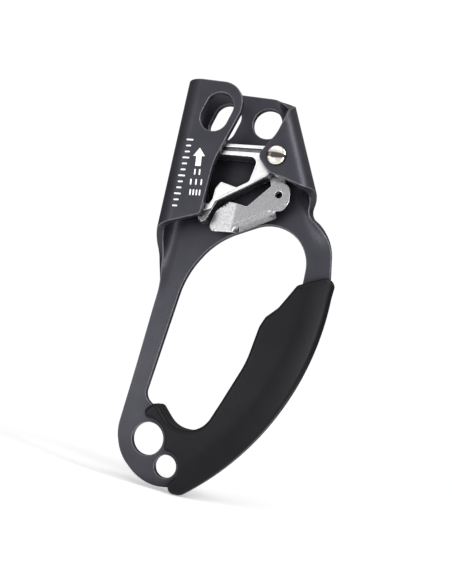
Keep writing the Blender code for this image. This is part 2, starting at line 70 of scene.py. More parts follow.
# Frame plate and its two bends
PLATE = 3.8
MID_Y = PLATE / 2       # middle surface of the back plate
CHANNEL = 13.3          # clear depth between back plate and flaps
BEND_R = (CHANNEL + PLATE) / 2
FLAP_FRONT = -CHANNEL - PLATE
LEFT_AXIS_X = -5.85     # the left bend turns about a vertical line
RIGHT_AXIS = (43.03, 142.5)
RIGHT_LEAN = radians(24.92)             # the right bend's axis leans left going up
TOP_Z = 179.0
LEFT_FADE = (60.0, 100.0)               # heights where the left bend goes from flat to full
RIGHT_FADE = (-45.0, -16.0)             # the same along the right bend's axis
PLATE_EDGE = 0.55                       # rounding of the plate's edges
PLATE_SPACING = 1.3                     # of mesh points along the plate's edges
BEND_ROWS = 34                          # rows of mesh points round each bend
BEND_SPACING = 2.5                      # of mesh points along a row

# Eyes
MAIN_EYE = (0.0, 0.0, 8.08)             # x, z, radius
SMALL_EYE = (11.92, -11.12, 5.58)
TOP_EYE = (26.15, 165.8, 7.64)
SLOT = (3.97, 163.4)
SLOT_R = 7.05
SLOT_HALF = 2.9                         # from its centre to the centre of each round end
SLOT_TILT = radians(16.0)

# Printed marks on the left flap
INK_SUNK = 0.02         # how deep the print starts below the plate's face
INK_PROUD = 0.05
ARROW_FOOT = (0.6, 135.2)
ARROW_RUN = (-0.108, 0.994)             # up the flap, leaning slightly to the left
SHORT_BARS = ((3.0, 2.4), (8.0, 4.0), (13.2, 3.2))  # drop below the arrow, half width of a row
SHORT_BAR = 2.2         # length of a bar under the arrow
SHORT_BAR_WIDTH = 0.75
SCALE_TOP = (-6.2, 147.5)
SCALE_RUN = (-0.3, -33.5)               # from the scale's first bar to its last
SCALE_BARS = 12
SCALE_BAR_WIDTH = 0.8

# Grip
GRIP_PROUD = 5.5
GRIP_FRONT = -GRIP_PROUD
GRIP_BACK = PLATE + GRIP_PROUD
GRIP_MIDDLE = (GRIP_FRONT + GRIP_BACK) / 2
GRIP_ROUND = 2.2
GRIP_SPACING = 1.7      # of mesh points within the grip's faces
GRIP_MARGIN = 0.9       # least distance from those points to the rim
PALM_CENTRE = (-64.2, 85.6)             # of the grip's long outer edge, an arc
PALM_R = 138.8
SHOULDER_WIDTH = 12.0   # both faces slope away towards the palm side over this width
SHOULDER_DEPTH = 3.6
SHOULDER_CURVE = 1.5    # 1 is a straight slope from a sharp crease
SEAM = 0.15             # height of the mould's parting line
SEAM_HALF = 0.3         # half its width

# Cam and its axle
CAM_PIVOT = (38.0, 146.1)
AXLE_R = 3.0
SLEEVE_R = 4.2
HEAD_R = 4.75
HEAD_H = 2.0
RIVET_WASHER = 1.0      # thickness
WASHER_R = 6.0
CAM_SIDE_PLAY = 1.1
CAM_FRONT = -CHANNEL + CAM_SIDE_PLAY
CAM_BACK = -CAM_SIDE_PLAY
CHEEK = 1.4             # thickness of each cheek
GROOVE_DEPTH = 1.2      # of the groove along the front cheek's top bar
FACE_START = 183.0      # toothed face, in degrees about the pivot
FACE_END = 229.0
FACE_R = 43.4
FACE_GROWTH = 0.164     # the face is a spiral; its radius grows by this share per radian
TEETH = 14              # in each row
TOOTH = 1.1             # height
TOOTH_R = 0.95
TOOTH_SIDES = 8
TOOTH_ROWS = 4
CAM_LAP = 0.1           # how far the cam's layers reach into each other
BLOCK_PROUD = 0.3       # of the cheek's web and block over its main face

# Safety lever
LEVER_PIVOT = (41.6, 128.8)
LEVER_FRONT = -10.7
LEVER_BACK = -3.5
LEVER_WALL = 1.6
CREASE_X = 22.3         # left of it the lever's front leans back
CREASE_LEAN = radians(11.0)
LIP_START = (25.0, 112.4)               # the line along which the bottom lip is folded
LIP_END = (41.5, 122.2)
LIP_LENGTH = 5.1
LIP_TURN = radians(52.0)
LIP_BEND_R = 0.6
LIP_FADE = 3.0          # the fold grows to its full turn over this width right of the crease
SLIT = (25.2, 110.4)                    # x and top end of the slit between facet and lip
DIMPLE = (40.2, 119.6)
DIMPLE_PROUD = 0.5
DIMPLE_SPREAD = 1.4     # square millimetres; the dimple is a bell shape
LEVER_SPACING = 0.6     # of mesh points over the lever's sheet
PIN_R = 1.45
LEVER_TUBE_R = 2.15
LUG_R = 3.8

# Springs
SPRING_R = 5.3
SPRING_WIRE = 0.5
SPRING_TURNS = 4
SPRING_LEG = 200.0      # where the coil ends and the rear leg starts, in degrees
LEVER_SPRING_R = 2.45
LEVER_SPRING_WIRE = 0.3
COIL_STEPS = 36         # points per turn
WIRE_SIDES = 12

# Camera and floor
LENS = 51.76
SENSOR = 36.0
CAMERA_PLACE = (132.0, -399.2, 45.1)
CAMERA_YAW = radians(15.22)
CAMERA_RISE = radians(4.65)
CAMERA_ROLL = radians(12.3)
FLOOR_HALF = 3.0        # metres, as are the stage's other lengths
FLOOR_DROP = 0.0002     # below the lowest point of the object
FLOOR_GLOW = 0.34
FLOOR_FADE = (0.12, 0.55)               # distances from the origin over which it turns clear
BACKDROP = 1.02         # brightness of the world as the camera sees it
STAGE_MIDDLE = (0.03, 0.0, 0.1)


# ---------------------------------------------------------------- outlines

def arc_steps(radius, sweep):
    """Number of chords that keeps an arc of a sweep in degrees within FLATNESS."""
    step = 2 * acos(1 - min(0.5, FLATNESS / radius))
    return max(2, ceil(abs(radians(sweep)) / step))


def arc(centre, radius, start, end, steps=None):
    """Points on an arc, angles in degrees, both ends included."""
    steps = steps or arc_steps(radius, end - start)
    turn = [radians(start + (end - start) * i / steps) for i in range(steps + 1)]
    return [(centre[0] + radius * cos(a), centre[1] + radius * sin(a)) for a in turn]


def circle(x, z, radius, steps=None):
    return arc((x, z), radius, 0, 360, steps)[:-1]


def stadium(start, end, radius):
    """A slot or bar outline with round ends at two points."""
    heading = degrees(atan2(end[1] - start[1], end[0] - start[0]))
    far = arc(end, radius, heading - 90, heading + 90)
    near = arc(start, radius, heading + 90, heading + 270)
    return far + near


def rounded(corners):
    """Closed outline from (x, z, radius) corners; each corner becomes a tangent arc."""
    points = []
    count = len(corners)
    for i, (x, z, radius) in enumerate(corners):
        if radius == 0:
            points.append((x, z))
            continue
        before = Vector(corners[i - 1][:2])
        after = Vector(corners[(i + 1) % count][:2])
        corner = Vector((x, z))
        towards = (before - corner).normalized()
        away = (after - corner).normalized()
        half = towards.angle(away) / 2
        reach = radius / tan(half)
        centre = corner + (towards + away).normalized() * radius / sin(half)
        first = corner + towards * reach - centre
        sweep = degrees(first.angle_signed(corner + away * reach - centre))
        start = degrees(atan2(first.y, first.x))
        points += arc(centre, radius, start, start - sweep)
    return points


def spaced(points, longest):
    """The closed outline with its long sides split, so that it can follow a bend."""
    result = []
    for (ax, az), (bx, bz) in zip(points, points[1:] + points[:1]):
        parts = max(1, ceil(hypot(bx - ax, bz - az) / longest))
        result += [(ax + (bx - ax) * i / parts, az + (bz - az) * i / parts)
                   for i in range(parts)]
    return result


def signed_area(points):
    pairs = zip(points, points[1:] + points[:1])
    return sum(a[0] * b[1] - b[0] * a[1] for a, b in pairs) / 2


def grown(points, distance):
    """Outline with every side moved outwards by a distance (inwards if it is negative)."""
    side = 1 if signed_area(points) > 0 else -1
    moved = []
    for i, point in enumerate(points):
        here = Vector(point)
        coming = (here - Vector(points[i - 1])).normalized()
        going = (Vector(points[(i + 1) % len(points)]) - here).normalized()
        mitre = (coming + going) / (1 + coming.dot(going))
        moved.append((here.x + side * distance * mitre.y, here.y - side * distance * mitre.x))
    return moved


def inside(points, outline):
    """For each point of an array, whether it lies inside the outline."""
    x = points[:, :1]
    z = points[:, 1:]
    a = np.array(outline)
    b = np.roll(a, -1, axis=0)
    spans = (a[:, 1] > z) != (b[:, 1] > z)
    rise = np.where(b[:, 1] == a[:, 1], 1.0, b[:, 1] - a[:, 1])
    at = (b[:, 0] - a[:, 0]) * (z - a[:, 1]) / rise + a[:, 0]
    return ((x < at) & spans).sum(axis=1) % 2 == 1


def on_material(points, loops):
    """For each point, whether it is inside the first loop and outside the others."""
    found = inside(points, loops[0])
    for hole in loops[1:]:
        found &= ~inside(points, hole)
    return found


def clear_of(points, loops, margin):
    """For each point, whether it is more than a margin away from every loop."""
    rim = np.array([p for loop in loops for p in spaced(loop, margin)])
    far = np.ones(len(points), dtype=bool)
    at_once = 500
    for start in range(0, len(rim), at_once):
        block = rim[start:start + at_once]
        gap = np.linalg.norm(points[:, None, :] - block[None, :, :], axis=2)
        far &= gap.min(axis=1) > margin
    return far


def points_within(candidates, loops, margin):
    """The candidates that lie on the material, more than a margin away from its rims."""
    points = np.array(candidates)
    wanted = on_material(points, loops) & clear_of(points, loops, margin)
    return [tuple(p) for p in points[wanted]]


# ---------------------------------------------------------------- meshes

def upright(x, z, y):
    return x, y, z


def strip(shape, first, second):
    """Band of faces between two closed rings of as many points."""
    for i in range(len(first)):
        k = (i + 1) % len(first)
        shape.faces.new((first[i], second[i], second[k], first[k]))


def fill(loops, inner):
    """Triangles over the region inside the first loop and outside the others."""
    points = []
    edges = []
    for loop in loops:
        first = len(points)
        points += loop
        edges += [(first + i, first + (i + 1) % len(loop)) for i in range(len(loop))]
    points += inner
    result = delaunay_2d_cdt([Vector(p) for p in points], edges, [], 0, 1e-5)
    source = [origin[0] for origin in result[3]]
    faces = [[source[i] for i in face] for face in result[2]]
    flat = np.array(points)
    kept = on_material(flat[np.array(faces)].mean(axis=1), loops)
    return [face for face, keep in zip(faces, kept) if keep]


def rim_profile(front, back, edge):
    """(inset, depth) pairs across a rim from face to face, with both edges rounded."""
    quarter = [radians(90 * i / RIM_STEPS) for i in range(RIM_STEPS + 1)]
    near = [(edge * (1 - sin(a)), front + edge * (1 - cos(a))) for a in quarter]
    far = [(inset, front + back - depth) for inset, depth in reversed(near)]
    return near + far


def slab_rim(shape, loop, side, profile, place):
    """Rounded rim along a loop, with its edges marked for edge wear and a painted highlight; its
    front and back rings.
    """
    rim_wear_and_highlight = shape.verts.layers.float["rim_wear_and_highlight"]
    rings = []
    for k, (inset, depth) in enumerate(profile):
        ring = [shape.verts.new(place(x, z, depth)) for x, z in grown(loop, side * inset)]
        for vert in ring:
            vert[rim_wear_and_highlight] = sin(pi * (k % (RIM_STEPS + 1)) / RIM_STEPS)
        rings.append(ring)
    for near, far in zip(rings, rings[1:]):
        strip(shape, near, far)
    return rings[0], rings[-1]


def cap(shape, faces, near, far):
    """The same faces over the front corners and, turned round, over the back ones."""
    for face in faces:
        shape.faces.new([near[i] for i in face])
        shape.faces.new([far[i] for i in reversed(face)])


def slab(shape, outline, holes, front, back, edge, place=upright, candidates=()):
    """Closed slab with rounded rims; place(x, z, depth) puts each point of its flat form.

    The candidates that lie within its faces become mesh points, so that the faces can bend.
    """
    if "rim_wear_and_highlight" not in shape.verts.layers.float:
        shape.verts.layers.float.new("rim_wear_and_highlight")
    loops = [(outline, -1)] + [(hole, 1) for hole in holes]
    profile = rim_profile(front, back, edge)
    rims = [slab_rim(shape, loop, side, profile, place) for loop, side in loops]
    flat = [grown(loop, side * edge) for loop, side in loops]
    inner = points_within(candidates, flat, INNER_MARGIN) if candidates else []
    near = [vert for front_ring, _ in rims for vert in front_ring]
    far = [vert for _, back_ring in rims for vert in back_ring]
    near += [shape.verts.new(place(x, z, front)) for x, z in inner]
    far += [shape.verts.new(place(x, z, back)) for x, z in inner]
    cap(shape, fill(flat, inner), near, far)


def turned(shape, centre, profile, steps=64):
    """Solid of revolution about a line along Y; the profile is (radius, y) pairs, closed."""
    rings = []
    for radius, y in profile:
        if radius == 0:
            rings.append([shape.verts.new((centre[0], y, centre[1]))] * steps)
            continue
        rings.append([shape.verts.new((x, y, z)) for x, z in circle(*centre, radius, steps)])
    for first, second in zip(rings, rings[1:] + rings[:1]):
        for i in range(steps):
            k = (i + 1) % steps
            corners = dict.fromkeys((first[i], second[i], second[k], first[k]))
            if len(corners) > 2:
                shape.faces.new(list(corners))


def chamfered_ring(shape, centre, inner, outer, y_front, y_back, chamfer=0.25):
    """Ring about a line along Y, with its four edges chamfered."""
    turned(shape, centre, [
        (outer - chamfer, y_front), (outer, y_front + chamfer), (outer, y_back - chamfer),
        (outer - chamfer, y_back), (inner + chamfer, y_back), (inner, y_back - chamfer),
        (inner, y_front + chamfer), (inner + chamfer, y_front)])


def ring_round(shape, centre, side, other, radius, count):
    """Ring of mesh points round a centre, in the plane of two directions."""
    turn = [2 * pi * k / count for k in range(count)]
    return [shape.verts.new(centre + (side * cos(a) + other * sin(a)) * radius) for a in turn]


def wire(shape, path, radius):
    """Round wire swept along a path of 3-D points, a little thinner at its ends."""
    points = [Vector(p) for p in path]
    side = None
    rings = []
    last = len(points) - 1
    for i, point in enumerate(points):
        ahead = (points[min(i + 1, last)] - points[max(i - 1, 0)]).normalized()
        if side is None:
            side = ahead.orthogonal()
        side = (side - ahead * side.dot(ahead)).normalized()
        other = ahead.cross(side)
        size = 0.7 * radius if i in (0, last) else radius
        rings.append(ring_round(shape, point, side, other, size, WIRE_SIDES))
    for first, second in zip(rings, rings[1:]):
        strip(shape, first, second)
    shape.faces.new(rings[0][::-1])
    shape.faces.new(rings[-1])


def spike(shape, base, tip, radius):
    """Pointed tooth from the middle of its base to its tip."""
    foot = Vector(base)
    ahead = (Vector(tip) - foot).normalized()
    side = ahead.orthogonal().normalized()
    top = shape.verts.new(tip)
    ring = ring_round(shape, foot, side, ahead.cross(side), radius, TOOTH_SIDES)
    for first, second in zip(ring, ring[1:] + ring[:1]):
        shape.faces.new((first, second, top))
    shape.faces.new(ring[::-1])


def add_piece(name, shape, finish, body, replaced=()):
    """Turns a millimetre bmesh into a piece that rides on a body of the frame."""
    for vert in shape.verts:
        vert.co = (vert.co + Vector((0, 0, ORIGIN_DROP))) * MM
    bmesh.ops.recalc_face_normals(shape, faces=shape.faces)
    mesh = bpy.data.meshes.new(name)
    shape.to_mesh(mesh)
    shape.free()
    mesh.shade_smooth()
    mesh.set_sharp_from_angle(angle=SHARP_ANGLE)
    mesh.materials.append(finish)
    item = bpy.data.objects.new(name, mesh)
    bpy.context.collection.objects.link(item)
    even = item.modifiers.new("even_shading", "WEIGHTED_NORMAL")
    even.keep_sharp = True
    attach(item, body)
    if replaced:
        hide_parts(*replaced)
    return item


# ---------------------------------------------------------------- frame plate

def fade(value, limits):
    """0 below the first limit, 1 above the second, smooth between."""
    t = (value - limits[0]) / (limits[1] - limits[0])
    t = min(1.0, max(0.0, t))
    return t * t * (3 - 2 * t)


def bend(past, strength, offset):
    """Position across a bend: (distance sideways, y) for a point past the bend's axis."""
    if past <= 0 or strength < 0.001:
        return past, MID_Y + offset
    radius = BEND_R / strength
    turn = past / radius
    if turn > pi:
        return pi * radius - past, MID_Y - 2 * radius - offset
    return (radius + offset) * sin(turn), MID_Y - radius + (radius + offset) * cos(turn)


def lean_parts(x, z):
    """Flat place as (distance past the right bend's axis, distance up along it)."""
    dx = x - RIGHT_AXIS[0]
    dz = z - RIGHT_AXIS[1]
    return dx * cos(RIGHT_LEAN) + dz * sin(RIGHT_LEAN), dz * cos(RIGHT_LEAN) - dx * sin(RIGHT_LEAN)


def lean_place(past, along):
    """The inverse of lean_parts."""
    x = RIGHT_AXIS[0] + past * cos(RIGHT_LEAN) - along * sin(RIGHT_LEAN)
    z = RIGHT_AXIS[1] + past * sin(RIGHT_LEAN) + along * cos(RIGHT_LEAN)
    return x, z


def folded(x, z, offset):
    """Where a point of the flat blank goes once both bends are made."""
    if x < LEFT_AXIS_X:
        sideways, y = bend(LEFT_AXIS_X - x, fade(z, LEFT_FADE), offset)
        return LEFT_AXIS_X - sideways, y, z
    past, along = lean_parts(x, z)
    if past > 0:
        sideways, y = bend(past, fade(along, RIGHT_FADE), offset)
        x, z = lean_place(sideways, along)
        return x, y, z
    return x, MID_Y + offset, z


def left_flap(x, z):
    """Flat-blank place of a point that ends up at x, z on the left flap."""
    return 2 * LEFT_AXIS_X - pi * BEND_R - x, z


def right_flap(x, z):
    """Flat-blank place of a point that ends up at x, z on the right flap."""
    past, along = lean_parts(x, z)
    return lean_place(pi * BEND_R - past, along)


def blank_outline():
    """Outer edge of the flat blank, starting at the left flap's top corner."""
    corners = [(*left_flap(x, z), r) for x, z, r in (
        (16.0, TOP_Z, 11.0), (15.9, 165.0, 6.0), (7.8, 139.0, 40.0), (6.8, 112.3, 2.5))]
    corners += [
        (-22.0, 102.6, 6.0), (-15.0, 92.5, 18.0), (-11.6, 76.0, 40.0), (-14.2, 35.0, 90.0),
        (-16.8, 0.5, 22.0), (-12.4, -10.8, 22.0), (-0.8, -20.0, 25.0), (9.1, -21.6, 20.0),
        (25.0, -19.1, 6.0)]
    corners += [(x, z, 0) for x, z in arc(PALM_CENTRE, PALM_R - 3.4, -46, -3)]
    corners += [(*lean_place(past, along), r) for past, along, r in (
        (6.6, -56.5, 6.0), (11.3, -40.0, 22.0), (8.4, -29.5, 21.0), (3.6, -22.5, 5.0),
        (12.0, -15.6, 5.0), (22.5, -12.2, 12.0))]
    corners += [(*right_flap(x, z), r) for x, z, r in (
        (44.0, 135.9, 14.0), (36.2, 137.2, 8.0), (28.6, 145.0, 4.0))]
    corners += [(*lean_place(past, along), r) for past, along, r in (
        (27.0, 16.5, 12.0), (20.0, 27.0, 8.0), (10.3, 32.0, 14.0))]
    corners += [(28.4, TOP_Z, 6.0)]
    return rounded(corners)


def window_outline():
    """Hand opening between the left bar and the grip."""
    return rounded([
        (0.6, 83.8, 48.0), (12.8, 103.4, 40.0), (60.0, 128.5, 19.6), (60.0, 87.0, 6.0),
        (56.5, 74.0, 8.0), (47.3, 61.0, 30.0), (40.0, 35.0, 60.0), (29.0, 7.0, 9.0),
        (13.0, 7.0, 8.0), (-6.5, 20.0, 6.0)])


def slot_outline(centre, tilt):
    reach = (SLOT_HALF * sin(tilt), SLOT_HALF * cos(tilt))
    low = (centre[0] - reach[0], centre[1] - reach[1])
    high = (centre[0] + reach[0], centre[1] + reach[1])
    return stadium(low, high, SLOT_R)


def blank_holes():
    holes = [circle(*MAIN_EYE), circle(*SMALL_EYE), circle(*TOP_EYE)]
    holes += [slot_outline(SLOT, SLOT_TILT), slot_outline(left_flap(*SLOT), -SLOT_TILT)]
    holes += [circle(*CAM_PIVOT, AXLE_R + GAP), circle(*right_flap(*CAM_PIVOT), AXLE_R + GAP)]
    return holes + [window_outline()]


def bend_grid():
    """Points over both bends of the blank, in rows along each bend's axis."""
    points = []
    left_count = 48
    right_count = 36
    for i in range(BEND_ROWS + 1):
        past = pi * BEND_R * i / BEND_ROWS
        points += [(LEFT_AXIS_X - past, LEFT_FADE[0] + BEND_SPACING * k)
                   for k in range(left_count)]
        points += [lean_place(past, RIGHT_FADE[0] + BEND_SPACING * k)
                   for k in range(right_count)]
    return points


def make_frame_plate(finish):
    shape = bmesh.new()
    outline = spaced(blank_outline(), PLATE_SPACING)
    holes = [spaced(hole, PLATE_SPACING) for hole in blank_holes()]
    slab(shape, outline, holes, -PLATE / 2, PLATE / 2, PLATE_EDGE, folded, bend_grid())
    return add_piece("frame_plate", shape, finish, "frame_body", ["frame"])


# ---------------------------------------------------------------- printed marks

def on_flap(x, z, height):
    """Point on the left flap's outer face, raised by a height; it follows the bend."""
    return folded(*left_flap(x, z), PLATE / 2 + height)


def mark(shape, outline):
    slab(shape, outline, [], -INK_SUNK, INK_PROUD, INK_SUNK, on_flap)


def bar(start, end, width):
    return spaced(stadium(start, end, width / 2), 0.8)


def arrow_place(along, across):
    """Point a distance up the arrow's line from its foot and a distance to the right of it."""
    return (ARROW_FOOT[0] + ARROW_RUN[0] * along + ARROW_RUN[1] * across,
            ARROW_FOOT[1] + ARROW_RUN[1] * along - ARROW_RUN[0] * across)


def add_arrow(shape):
    """Arrow up the rope channel with three rows of plain bars under it: two, three and four."""
    mark(shape, [arrow_place(*p) for p in (
        (0, -1.4), (0, 1.4), (5.0, 1.4), (5.0, 3.0), (9.2, 0), (5.0, -3.0), (5.0, -1.4))])
    for row, (drop, half) in enumerate(SHORT_BARS):
        count = row + 2
        for i in range(count):
            across = -half + 2 * half * (i + 0.5) / count
            top = arrow_place(-drop + SHORT_BAR / 2, across)
            bottom = arrow_place(-drop - SHORT_BAR / 2, across)
            mark(shape, bar(top, bottom, SHORT_BAR_WIDTH))


def add_scale(shape):
    """Line of plain bars down the bend's side of the flap; every third one is longer."""
    for i in range(SCALE_BARS):
        share = i / (SCALE_BARS - 1)
        half = 0.75 if i % 3 else 1.2
        x = SCALE_TOP[0] + SCALE_RUN[0] * share
        z = SCALE_TOP[1] + SCALE_RUN[1] * share
        mark(shape, bar((x - half, z), (x + half, z + 0.2), SCALE_BAR_WIDTH))


def make_marks(finish):
    shape = bmesh.new()
    add_arrow(shape)
    add_scale(shape)
    return add_piece("flap_marks", shape, finish, "frame_body")


# ---------------------------------------------------------------- grip

def grip_outline():
    """Front view: long outer edge, top end, finger side, hook and the foot round both eyes."""
    outer = arc(PALM_CENTRE, PALM_R, -50.2, 0.0)
    eye_margin = MAIN_EYE[2] + 2.0
    small_right = SMALL_EYE[0] + SMALL_EYE[2] + 1.8
    small_top = SMALL_EYE[1] + SMALL_EYE[2] + 1.8
    inner = rounded([
        (*outer[-1], 0), (75.5, 96.5, 3.4), (58.4, 88.2, 3.0), (51.6, 75.8, 14.0),
        (46.3, 70.2, 2.6), (44.2, 65.0, 12.0), (41.6, 47.0, 50.0), (33.6, 25.6, 60.0),
        (26.9, 8.6, 13.0), (11.6, 8.8, 13.0), (1.7, 19.0, 2.6), (-3.9, 13.4, 2.8),
        (-1.7, eye_margin, 2.6), (eye_margin, eye_margin, eye_margin), (eye_margin, small_top, 2.6),
        (small_right, small_top, SMALL_EYE[2] + 1.0), (small_right, -14.6, 3.0),
        (16.3, -17.8, 2.6), (16.3, -22.7, 3.0), (22.4, -22.95, 5.0), (*outer[0], 0)])
    return outer + inner[1:-1]


def shoulder(x, z):
    """How far the grip's face has sloped away at a point, towards its palm side."""
    centre_x, centre_z = PALM_CENTRE
    from_palm = max(0.0, PALM_R - hypot(x - centre_x, z - centre_z))
    share = max(0.0, 1 - from_palm / SHOULDER_WIDTH)
    return SHOULDER_DEPTH * share ** SHOULDER_CURVE


def grip_levels():
    """(inset, y) pairs down the grip's rim: rounded front edge, parting line, back edge."""
    quarter = [radians(15 * i) for i in range(7)]
    levels = [(GRIP_ROUND * (1 - sin(a)), GRIP_FRONT + GRIP_ROUND * (1 - cos(a)))
              for a in quarter]
    levels += [(0.0, GRIP_MIDDLE - SEAM_HALF), (-SEAM, GRIP_MIDDLE)]
    return levels + [(inset, 2 * GRIP_MIDDLE - y) for inset, y in reversed(levels[:-1])]


def grip_corners(shape, points, y):
    """Mesh points at one level; the shoulder takes less off the nearer it is to the middle."""
    share = (GRIP_MIDDLE - y) / (GRIP_BACK - GRIP_MIDDLE)
    return [shape.verts.new((x, y + share * shoulder(x, z), z)) for x, z in points]


def make_grip(finish):
    """Moulded grip: rounded rim all round, palm-side shoulder and a fine parting line."""
    shape = bmesh.new()
    outline = spaced(grip_outline(), 1.5)
    rings = [grip_corners(shape, grown(outline, -inset), y) for inset, y in grip_levels()]
    for near, far in zip(rings, rings[1:]):
        strip(shape, near, far)
    flat = [grown(outline, -GRIP_ROUND)]
    grid = [(x, z) for x in np.arange(-10, 80, GRIP_SPACING)
            for z in np.arange(-25, 98, GRIP_SPACING)]
    inner = points_within(grid, flat, GRIP_MARGIN)
    near = rings[0] + grip_corners(shape, inner, GRIP_FRONT)
    far = rings[-1] + grip_corners(shape, inner, GRIP_BACK)
    cap(shape, fill(flat, inner), near, far)
    return add_piece("moulded_grip", shape, finish, "frame_body", ["grip"])


# ---------------------------------------------------------------- cam

def face_radius(angle):
    """Radius of the cam's toothed face at an angle about the pivot, in degrees."""
    return FACE_R * exp(FACE_GROWTH * radians(angle - FACE_START))


def cam_place(angle, radius):
    a = radians(angle)
    return CAM_PIVOT[0] + radius * cos(a), CAM_PIVOT[1] + radius * sin(a)


def cam_body_outline():
    """Middle of the cam between its cheeks, up to the roots of the teeth."""
    top = [(30.5, 151.4), (0.0, 149.0), (-3.6, 147.2)]
    steps = 36
    turn = [FACE_START + (FACE_END - FACE_START) * i / steps for i in range(steps + 1)]
    roots = [cam_place(angle, face_radius(angle) - TOOTH) for angle in turn]
    lower = [(8.2, 110.6), (10.2, 115.8), (12.0, 120.6), (16.8, 124.3), (26.6, 131.1),
             (34.4, 137.6)]
    return top + roots + lower + arc(CAM_PIVOT, 6.6, 243, 134)


def cheek_sides():
    """Corners round the cheek's left side and bottom, down from its top left corner."""
    side = [(*cam_place(184 + 7 * i, 42.4 + 0.35 * i), 0) for i in range(6)]
    return side + [(6.0, 114.6, 1.2), (10.3, 116.4, 1.5), (11.5, 120.3, 2.0),
                   (16.8, 124.0, 8.0), (26.6, 130.8, 0), (34.4, 136.9, 0)]


def cheek_outline():
    boss = [(x, z, 0) for x, z in arc(CAM_PIVOT, 6.3, -105, 80)]
    return rounded([(30.5, 151.4, 0), (0.0, 149.0, 0)] + cheek_sides() + boss)


def cam_window():
    """Opening between top bar, toothed wall and lower bar; the lower bar carries a block."""
    return rounded([
        (3.0, 143.6, 2.0), (27.9, 145.0, 3.0), (27.2, 139.5, 12.0), (26.0, 132.6, 3.0),
        (20.5, 128.9, 0.4), (12.1, 130.5, 1.0), (10.0, 126.5, 4.0), (9.8, 121.4, 0.8),
        (8.6, 118.8, 0.8), (6.6, 118.6, 0.8), (3.2, 128.0, 8.0)])


def add_cheek_relief(shape, window, bore):
    """Raised parts of the front cheek: ridge over the groove, main face, web and block."""
    base = CAM_FRONT + GROOVE_DEPTH + CAM_LAP
    ridge = rounded([(30.5, 151.2, 0.5), (31.5, 149.7, 0.5), (-0.2, 147.2, 0.5),
                     (-0.2, 148.8, 0.5)])
    slab(shape, ridge, [], CAM_FRONT, base, 0.2)
    boss = [(x, z, 0) for x, z in arc(CAM_PIVOT, 6.0, -105, 115)]
    main = grown(rounded(
        [(31.6, 149.0, 0.8), (29.6, 147.7, 0.8), (-2.0, 145.3, 0)] + cheek_sides() + boss), -0.2)
    slab(shape, main, [grown(window, 0.1), grown(bore, 0.1)], CAM_FRONT, base, 0.2)
    web = rounded([(28.9, 145.6, 1.0), (28.3, 138.8, 6.0), (27.3, 132.4, 0.6),
                   (34.6, 138.0, 0.6), (34.2, 142.4, 2.0), (31.5, 146.0, 2.0)])
    block = rounded([(12.3, 129.6, 0.8), (10.8, 126.2, 3.0), (11.0, 121.3, 0.8),
                     (20.6, 128.2, 0.4)])
    for raised in (web, block):
        slab(shape, raised, [], CAM_FRONT - BLOCK_PROUD, CAM_FRONT + CAM_LAP, 0.15)


def add_teeth(shape):
    """Staggered rows of small spikes that lean down the rope."""
    pitch = (FACE_END - FACE_START) / TEETH
    width = CAM_BACK - CAM_FRONT - 2 * CHEEK
    for row in range(TOOTH_ROWS):
        y = CAM_FRONT + CHEEK + width * (row + 0.5) / TOOTH_ROWS
        for i in range(TEETH):
            angle = FACE_START + pitch * (i + (0.25 if row % 2 else 0.0))
            base_x, base_z = cam_place(angle, face_radius(angle) - TOOTH - 0.2)
            tip_x, tip_z = cam_place(angle + 0.45 * pitch, face_radius(angle))
            spike(shape, (base_x, y, base_z), (tip_x, y, tip_z), TOOTH_R)


def make_cam(finish, shaded_finish):
    """Cam with bright cheeks; its middle, its teeth and the front cheek's base layer in the groove
    take a darker copy of the chrome, which is painted shade.
    """
    shape = bmesh.new()
    window = cam_window()
    bore = circle(*CAM_PIVOT, SLEEVE_R + GAP)
    front_split = CAM_FRONT + CHEEK
    back_split = CAM_BACK - CHEEK
    slab(shape, cam_body_outline(), [window], front_split - CAM_LAP, back_split + CAM_LAP, 0.15)
    slab(shape, cheek_outline(), [window, bore], CAM_FRONT + GROOVE_DEPTH, front_split, 0.2)
    add_teeth(shape)
    # everything built so far takes the darker chrome: painted shade on the middle, the teeth and
    # the groove's floor
    for face in shape.faces:
        face.material_index = 1
    slab(shape, grown(cheek_outline(), -0.4), [window, bore], back_split, CAM_BACK, 0.2)
    add_cheek_relief(shape, window, bore)
    lug = stadium((36.6, 140.2), LEVER_PIVOT, LUG_R)
    slab(shape, lug, [circle(*LEVER_PIVOT, PIN_R + GAP)], LEVER_BACK + GAP, CAM_BACK, 0.3)
    cam = add_piece("toothed_cam", shape, finish, "cam_body", ["cam"])
    cam.data.materials.append(shaded_finish)
    return cam


# ---------------------------------------------------------------- axle and small parts

def make_axle(finish):
    """Rivet: polished domed head in front, shank, flattened head behind."""
    shape = bmesh.new()
    under = FLAP_FRONT - GAP
    rim = 0.45
    dome = [(HEAD_R * cos(radians(a)), under - rim - (HEAD_H - rim) * sin(radians(a)))
            for a in range(6, 90, 6)]
    rear = PLATE + 3 * GAP + RIVET_WASHER
    profile = [(0, under - HEAD_H)] + dome[::-1]
    profile += [(HEAD_R, under - rim), (HEAD_R, under - 0.12), (HEAD_R - 0.12, under)]
    profile += [(AXLE_R, under), (AXLE_R, rear), (4.1, rear), (4.4, rear + 0.25)]
    profile += [(4.3, rear + 0.6), (3.8, rear + 1.0), (2.8, rear + 1.25), (1.2, rear + 1.3)]
    profile += [(0, rear + 1.1)]
    turned(shape, CAM_PIVOT, profile)
    return add_piece("rivet_axle", shape, finish, "frame_body", ["cam_axle"])


def make_sleeve(finish):
    shape = bmesh.new()
    chamfered_ring(shape, CAM_PIVOT, AXLE_R + GAP, SLEEVE_R, -CHANNEL + GAP, -GAP)
    return add_piece("bearing_sleeve", shape, finish, "frame_body",
                     ["axle_sleeve"])


def make_washer(finish):
    shape = bmesh.new()
    behind = PLATE + GAP
    chamfered_ring(shape, CAM_PIVOT, AXLE_R + GAP, WASHER_R, behind, behind + RIVET_WASHER)
    return add_piece("rear_washer", shape, finish, "frame_body",
                     ["rivet_washer"])


